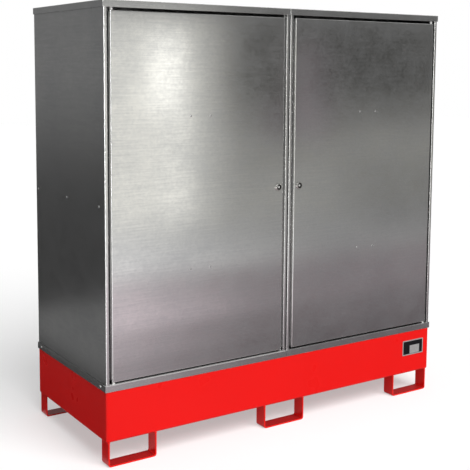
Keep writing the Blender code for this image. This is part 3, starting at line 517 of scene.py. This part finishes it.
# Quarter-turn locks: a die-cast housing with a cupped head, held by a nut behind the door, and a spindle
# whose square takes the key. The spindle carries the cam on its rear square, under a screw.
HOUSING_PLATING = (0.70, 0.69, 0.66, 1.0)
NUT_PLATING = (0.62, 0.61, 0.58, 1.0)
SPINDLE_PLATING = (0.86, 0.86, 0.85, 1.0)
PAINTED_CUP_SHADE = (0.010, 0.010, 0.010, 1.0)
CUP_RADIUS = 0.0112
CUP_BLUR = 0.0001


def housing_with_cup_shade(side):
    """The housing's plating, with the cup of its head painted nearly black as shade."""
    housing = f"{side}_lock_housing"
    made = plated_steel(f"{housing}_metal", HOUSING_PLATING, roughness=0.16, edge_reach=0.0008)
    tree = made.node_tree
    shader = tree.nodes["Principled BSDF"]
    low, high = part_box(housing)
    middle = (low + high) / 2
    inputs = {0: place_on(tree), 1: (middle.x, 0.0, middle.z)}
    away = add(tree, "ShaderNodeVectorMath", inputs, operation="SUBTRACT").outputs["Vector"]
    inputs = {0: away, 1: (1.0, 0.0, 1.0)}
    flat = add(tree, "ShaderNodeVectorMath", inputs, operation="MULTIPLY").outputs["Vector"]
    radius = add(tree, "ShaderNodeVectorMath", {0: flat}, operation="LENGTH").outputs["Value"]
    # Painted shade: the cup in the head is painted nearly black.
    inside = spread(tree, radius, 1.0, 0.0, CUP_RADIUS - CUP_BLUR, CUP_RADIUS + CUP_BLUR)
    plating = shader.inputs["Base Color"].links[0].from_socket
    connect(tree, blend_colours(tree, inside, plating, PAINTED_CUP_SHADE), shader.inputs["Base Color"])
    return made


nut_metal = plated_steel("lock_nut_metal", NUT_PLATING, roughness=0.26)
spindle_metal = plated_steel("lock_spindle_metal", SPINDLE_PLATING, roughness=0.34, metallic=0.65)
for side in SIDES:
    dress([f"{side}_lock_housing"], housing_with_cup_shade(side))
    dress([f"{side}_lock_nut"], nut_metal)
    dress([f"{side}_lock_spindle", f"{side}_lock_cam", f"{side}_cam_screw"], spindle_metal)

# The studio: a pale matt floor that throws little light back up, an even fill all round, and one large
# soft light from above the front, whose shadow falls behind the cabinet.
WHITE = (1.0, 1.0, 1.0, 1.0)
FLOOR_REACH = 40.0
FLOOR_SEEN = 0.55
FLOOR_GLOW = 0.42
FLOOR_BOUNCE = 0.45
FILL_LEVEL = 0.25
KEY_AZIMUTH = math.radians(5)
KEY_HEIGHT = math.radians(50)
KEY_SPREAD = math.radians(45)
KEY_DISTANCE = 6.0
KEY_LEVEL = 1.08


def is_seen(tree):
    """1 where a ray shows the surface, directly or in metal, 0 where it only gathers light."""
    path = add(tree, "ShaderNodeLightPath").outputs
    shown = calculate(tree, "MAXIMUM", path["Is Camera Ray"], path["Is Glossy Ray"])
    return calculate(tree, "MAXIMUM", shown, path["Is Transmission Ray"])


clear_selection()
bpy.ops.mesh.primitive_plane_add(size=FLOOR_REACH, location=(0, 0, 0))
floor = bpy.context.active_object
floor.name = "studio_floor"
floor_paint, tree, shader = new_material("studio_floor")
seen = is_seen(tree)
connect(tree, spread(tree, seen, FLOOR_BOUNCE, FLOOR_SEEN, 0.0, 1.0), shader.inputs["Base Color"])
connect(tree, spread(tree, seen, 0.0, FLOOR_GLOW, 0.0, 1.0), shader.inputs["Emission Strength"])
shader.inputs["Emission Color"].default_value = WHITE
shader.inputs["Roughness"].default_value = 1.0
shader.inputs["Specular IOR Level"].default_value = 0.0
floor.data.materials.append(floor_paint)
floor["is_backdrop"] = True

world = bpy.data.worlds.new("studio")
bpy.context.scene.world = world
world.use_nodes = True
tree = world.node_tree
background = tree.nodes["Background"]
connect(tree, spread(tree, is_seen(tree), FILL_LEVEL, 1.0, 0.0, 1.0), background.inputs["Strength"])
background.inputs["Color"].default_value = WHITE

towards = Vector((math.sin(KEY_AZIMUTH), -math.cos(KEY_AZIMUTH), math.tan(KEY_HEIGHT))).normalized()
bpy.ops.object.light_add(type="SUN", location=towards * KEY_DISTANCE)
key = bpy.context.active_object
key.name = "key_light"
key.data.angle = KEY_SPREAD
key.data.energy = KEY_LEVEL * math.pi
key.rotation_euler = towards.to_track_quat("Z", "Y").to_euler()
key.visible_glossy = False

# Boards before the doors, seen only in the metal, as a photographer places them for bare sheet. The left
# door mirrors pale ones and two lamps, and the right door darker ones. Three small ones are for the edges
# at which the doors meet.
WARM = (1.0, 0.99, 0.93, 1.0)
ROSY = (1.0, 0.86, 0.92, 1.0)
FRONT = -5.0
NEAR = -4.9
FAR_LEFT = -8.0
LEFT = -1.0
SPLIT = 4.0
FAR_RIGHT = 14.0
FRONT_SPAN = (LEFT, FAR_RIGHT)
LOWEST_TOP = 0.5
LOWER_TOP = 0.95
MIDDLE_TOP = 1.25
UPPER_TOP = 2.06
BOARD_TOP = 7.0
SEAM_SHADE = (3.08, 3.47)
SEAM_LIGHT = (3.47, 3.95)
SEAM_LOW = (0.84, 1.22)
SEAM_HIGH = (1.22, 1.80)
STRIP_LEVEL = 1.65
SKIRT_LEVEL = 1.08
UPRIGHT = math.pi / 2


def fading(tree, stops, along):
    """A level that runs smoothly between two (place, level) stops along an axis."""
    place = add(tree, "ShaderNodeSeparateXYZ", {"Vector": place_on(tree)}).outputs[along]
    (start, first), (end, last) = stops
    inputs = {"Value": place, "From Min": start, "From Max": end, "To Min": first, "To Max": last}
    return add(tree, "ShaderNodeMapRange", inputs, interpolation_type="SMOOTHSTEP").outputs["Result"]


def board(name, middle, turn, size, level, along, tint):
    """A flat board that only shows in reflections. Its level is one number, or fades between two stops."""
    clear_selection()
    bpy.ops.mesh.primitive_plane_add(size=1.0, location=middle, rotation=turn)
    made = bpy.context.active_object
    made.name = name
    made.scale = (*size, 1.0)
    apply_all(made)
    surface, tree, shader = new_material(name)
    tree.nodes.remove(shader)
    strength = level if isinstance(level, float) else fading(tree, level, along)
    glow = add(tree, "ShaderNodeEmission", {"Color": tint, "Strength": strength})
    connect(tree, glow.outputs["Emission"], tree.nodes["Material Output"].inputs["Surface"])
    made.data.materials.append(surface)
    made.visible_camera = False
    made.visible_diffuse = False
    made.visible_shadow = False
    made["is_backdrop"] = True


def standing(name, across, up, level, depth=FRONT, along="X", tint=WHITE):
    """A board that stands across the set at that depth."""
    (left, right), (bottom, top) = across, up
    middle = ((left + right) / 2, depth, (bottom + top) / 2)
    board(name, middle, (UPRIGHT, 0.0, 0.0), (right - left, top - bottom), level, along, tint)


standing("front_left_board", (FAR_LEFT, 1.1), (0.0, UPPER_TOP), ((-0.7, 0.40), (1.1, 0.90)), NEAR, tint=WARM)
standing("lowest_board", (LEFT, SPLIT), (0.0, LOWEST_TOP), ((1.95, 0.93), (2.9, 0.33)), tint=WARM)
standing("lowest_right_board", (SPLIT, FAR_RIGHT), (0.0, LOWEST_TOP), ((4.0, 0.30), (4.7, 0.20)), tint=WARM)
standing("lower_board", FRONT_SPAN, (LOWEST_TOP, LOWER_TOP), ((1.95, 0.93), (3.0, 0.26)), tint=WARM)
standing("middle_board", FRONT_SPAN, (LOWER_TOP, MIDDLE_TOP), ((1.95, 0.92), (3.0, 0.14)), tint=WARM)
standing("upper_board", FRONT_SPAN, (MIDDLE_TOP, UPPER_TOP), ((1.93, 0.93), (3.03, 0.05)), tint=WARM)
standing("ceiling_board", (FAR_LEFT, FAR_RIGHT), (UPPER_TOP, BOARD_TOP), ((0.9, 0.34), (1.8, 0.145)))
standing("seam_board", SEAM_LIGHT, SEAM_HIGH, ((3.50, 0.23), (3.92, 0.05)), NEAR, tint=ROSY)
standing("lower_seam_board", SEAM_LIGHT, SEAM_LOW, ((3.50, 0.27), (3.92, 0.15)), NEAR, tint=ROSY)
standing("seam_shade_board", SEAM_SHADE, SEAM_LOW, ((3.08, 0.15), (3.40, 0.045)), NEAR, tint=ROSY)
standing("lamp_strip", (1.76, 2.14), (1.13, 1.87), STRIP_LEVEL, NEAR, tint=WARM)
standing("lamp_skirt", (1.86, 2.24), (0.08, 1.10), SKIRT_LEVEL, NEAR, tint=WARM)

# Boards that lie on the floor before the doors, up to just short of the feet. Each darkens from left to
# right, as the doors' lower parts do. The last board hangs overhead.
FLOOR_SPAN = (-1.5, FAR_RIGHT)
FAR_EDGE = -3.2
MIDDLE_EDGE = -2.0
NEAR_EDGE = -1.5
FEET_EDGE = -0.42
ON_FLOOR = 0.002
OVER_IT = 0.004
OVERHEAD = 5.0
OVERHEAD_LEVEL = 0.16


def lying(name, across, deep, level, height=ON_FLOOR, along="X", tint=WHITE):
    """A level board, on the floor or overhead."""
    (left, right), (front, rear) = across, deep
    middle = ((left + right) / 2, (front + rear) / 2, height)
    board(name, middle, (0.0, 0.0, 0.0), (right - left, rear - front), level, along, tint)


lying("far_floor_board", FLOOR_SPAN, (FRONT, FAR_EDGE), ((0.3, 0.95), (2.9, 0.29)))
lying("far_right_floor_board", (3.4, FAR_RIGHT), (FRONT, -3.7), ((3.4, 0.28), (4.5, 0.19)), OVER_IT)
lying("middle_floor_board", FLOOR_SPAN, (FAR_EDGE, MIDDLE_EDGE), ((-0.2, 0.80), (1.5, 0.23)), tint=ROSY)
lying("near_floor_board", FLOOR_SPAN, (MIDDLE_EDGE, NEAR_EDGE), ((-0.7, 0.60), (0.9, 0.165)), tint=ROSY)
lying("nearest_floor_board", FLOOR_SPAN, (NEAR_EDGE, FEET_EDGE), ((-0.7, 0.38), (0.7, 0.128)), tint=ROSY)
lying("overhead_board", (-0.5, 4.5), (-2.0, 0.8), OVERHEAD_LEVEL, OVERHEAD)

# Boards behind and beside the cabinet, grey for the end panel, the base ring's end, the back and the right
# side. The last is a tall narrow lamp at the left that lights the rounded folds.
REAR = 4.0
REAR_SPLIT = -0.9
REAR_MIDDLE = (REAR_SPLIT, 1.6)
BESIDE_END = -0.30
RIGHT_CORNER = (8.0, 9.0)
RING_LEVEL = 0.03
FOLD_LAMP_LEVEL = 8.5


def facing(name, start, end, level, along="Y"):
    """An upright board between two points on the floor."""
    (left, front), (right, rear) = start, end
    middle = ((left + right) / 2, (front + rear) / 2, BOARD_TOP / 2)
    turn = (UPRIGHT, 0.0, math.atan2(rear - front, right - left))
    board(name, middle, turn, (math.dist(start, end), BOARD_TOP), level, along, WHITE)


standing("rear_left_board", (-14.0, REAR_SPLIT), (0.0, BOARD_TOP), ((0.3, 0.040), (1.6, 0.17)), REAR, "Z")
lying("rear_left_floor_board", (-9.0, REAR_SPLIT), (BESIDE_END, REAR), ((1.85, 0.145), (2.35, 0.035)),
      along="Y")
lying("ring_board", (-1.31, -0.88), (BESIDE_END, 2.0), RING_LEVEL, OVER_IT)
standing("rear_middle_board", REAR_MIDDLE, (0.0, BOARD_TOP), ((-0.9, 0.12), (1.6, 0.50)), REAR)
lying("rear_middle_floor_board", REAR_MIDDLE, (0.37, REAR), ((-0.9, 0.08), (1.6, 0.70)))
facing("left_board", (-9.0, 4.0), (-9.0, -2.6), ((4.0, 0.20), (-2.6, 0.60)))
facing("right_board", RIGHT_CORNER, (8.0, -5.0), ((4.0, 0.13), (-1.0, 0.24)))
facing("rear_board", RIGHT_CORNER, (-4.0, 9.0), ((6.0, 0.14), (-3.0, 0.45)), "X")
facing("fold_lamp", (-5.0, -3.33), (-5.4, -2.67), FOLD_LAMP_LEVEL)

# The camera stands at the front left, a little below the cabinet's top, and looks slightly down. Its
# frame is shifted down as far as the photograph's framing needs.
SENSOR_WIDTH = 36.0
LENS = 71.42
SHIFT_UP = -0.149
CAMERA_PLACE = Vector((-2.388, -3.542, 1.568))
CAMERA_FORWARD = Vector((0.5482, 0.8298, -0.1046)).normalized()
CAMERA_UP = Vector((0.0517, 0.0912, 0.9945)).normalized()

bpy.ops.object.camera_add(location=CAMERA_PLACE)
camera = bpy.context.active_object
camera.name = "camera"
camera.data.sensor_width = SENSOR_WIDTH
camera.data.lens = LENS
camera.data.shift_y = SHIFT_UP
right = CAMERA_FORWARD.cross(CAMERA_UP).normalized()
up = right.cross(CAMERA_FORWARD)
turn = Matrix((right, up, -CAMERA_FORWARD)).transposed().to_4x4()
camera.matrix_world = Matrix.Translation(CAMERA_PLACE) @ turn
bpy.context.scene.camera = camera
bpy.context.scene.view_settings.view_transform = "Standard"

low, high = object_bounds()
